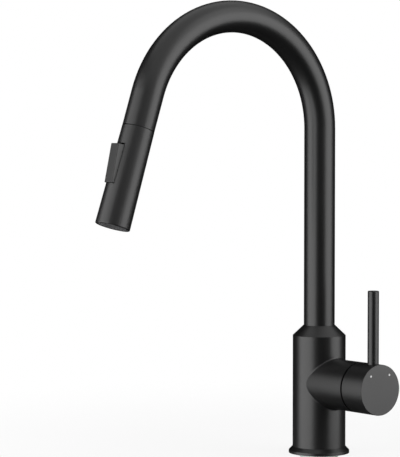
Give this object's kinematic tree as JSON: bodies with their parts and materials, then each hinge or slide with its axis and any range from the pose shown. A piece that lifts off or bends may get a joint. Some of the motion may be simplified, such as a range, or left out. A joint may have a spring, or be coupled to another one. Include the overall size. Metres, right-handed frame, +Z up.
{
  "type": "pull-out kitchen mixer tap",
  "caption": "Swan-neck single-lever kitchen mixer tap with swivelling spout, side lever and a docked pull-out spray head with a rocker switch.",
  "frame": {"origin": "centre of the base ring's underside, on the worktop's face", "axes": "+Z up along the column, -Y the way the spout reaches over the sink, +X the side of the valve branch and its lever"},
  "size_m": [0.1105, 0.2696, 0.5087],
  "materials": {
    "satin_black_metal": "satin black coat on brass",
    "satin_black_plastic": "satin black moulding",
    "dark_plastic": "plain moulding",
    "pale_plastic": "slippery acetal",
    "valve_plastic": "coloured moulding",
    "ceramic": "lapped ceramic",
    "brass": "machined brass",
    "steel": "plain steel",
    "black_rubber": "moulded rubber",
    "hose_braid": "woven grey sheath over rubber",
    "grey_silicone": "soft silicone",
    "grey_plastic": "grey moulding",
    "index_silver": "silver mark"
  },
  "bodies": {
    "column": {"body_column": "satin_black_metal", "base_ring": "satin_black_metal", "base_gasket": "black_rubber", "centring_ring": "pale_plastic", "gland_cone": "satin_black_metal", "upper_bush": "pale_plastic", "lower_slide_ring": "pale_plastic", "thrust_washer": "pale_plastic", "swivel_stop_screw": "steel", "fixing_stud": "steel", "horseshoe_pad": "black_rubber", "horseshoe_washer": "steel", "fixing_nut": "brass", "cartridge_base": "pale_plastic", "port_seals": "black_rubber", "cartridge_housing": "pale_plastic", "fixed_disc": "ceramic", "cartridge_nut": "brass", "dome_cover": "dark_plastic", "hose_tail_ferrule": "steel", "hose_tail_nut": "brass"},
    "spout": {"spout_tube": "satin_black_metal", "spout_collar": "brass", "docking_insert": "dark_plastic", "spray_hose": "hose_braid"},
    "spray_head": {"head_shell": "satin_black_plastic", "head_core": "dark_plastic", "hose_nut": "brass", "hose_ferrule": "steel", "filter_washer": "black_rubber", "check_valve": "valve_plastic", "rocker_pin": "steel", "spray_manifold": "dark_plastic", "nozzle_mat": "grey_silicone", "spray_plate": "grey_plastic", "aerator": "grey_plastic"},
    "rocker": {"rocker_button": "satin_black_plastic"},
    "diverter": {"diverter_spool": "pale_plastic", "spool_seals": "black_rubber"},
    "valve_carrier": {"carrier": "dark_plastic", "stem_pin": "steel"},
    "mixing_disc": {"moving_disc": "ceramic", "disc_driver": "dark_plastic"},
    "handle": {"stem": "brass", "handle_cap": "satin_black_metal", "lever_rod": "satin_black_metal", "grub_screw": "steel", "screw_plug": "satin_black_metal", "index_dots": "index_silver"}
  },
  "joints": [
    {"name": "spout_swivel", "type": "hinge", "parent": "column", "child": "spout", "pos_m": [0, 0, 0.1], "axis": [0, 0, 1], "range_deg": [-60, 60]},
    {"name": "head_pullout", "type": "slide", "parent": "spout", "child": "spray_head", "axis": [0, -0.309, -0.9511], "range_m": [0, 0.2], "deforming": ["spray_hose"]},
    {"name": "rocker_tilt", "type": "hinge", "parent": "spray_head", "child": "rocker", "pos_m": [0, -0.21958, 0.26337], "axis": [-1, 0, 0], "range_deg": [0, 11.5]},
    {"name": "diverter_slide", "type": "slide", "parent": "spray_head", "child": "diverter", "axis": [0, -0.309, -0.9511], "range_m": [0, 0.00166]},
    {"name": "temperature", "type": "hinge", "parent": "column", "child": "valve_carrier", "pos_m": [0.044, 0, 0.0645], "axis": [1, 0, 0], "range_deg": [-45, 45]},
    {"name": "flow", "type": "hinge", "parent": "valve_carrier", "child": "handle", "pos_m": [0.044, 0, 0.0645], "axis": [0, 1, 0], "range_deg": [0, 25]},
    {"name": "disc_slide", "type": "slide", "parent": "valve_carrier", "child": "mixing_disc", "axis": [0, 0, 1], "range_m": [0, 0.00591]}
  ],
  "couplings": [
    {"joint": "diverter_slide", "follows": "rocker_tilt", "m_per_rad": 0.008167},
    {"joint": "disc_slide", "follows": "flow", "m_per_rad": 0.0135}
  ]
}
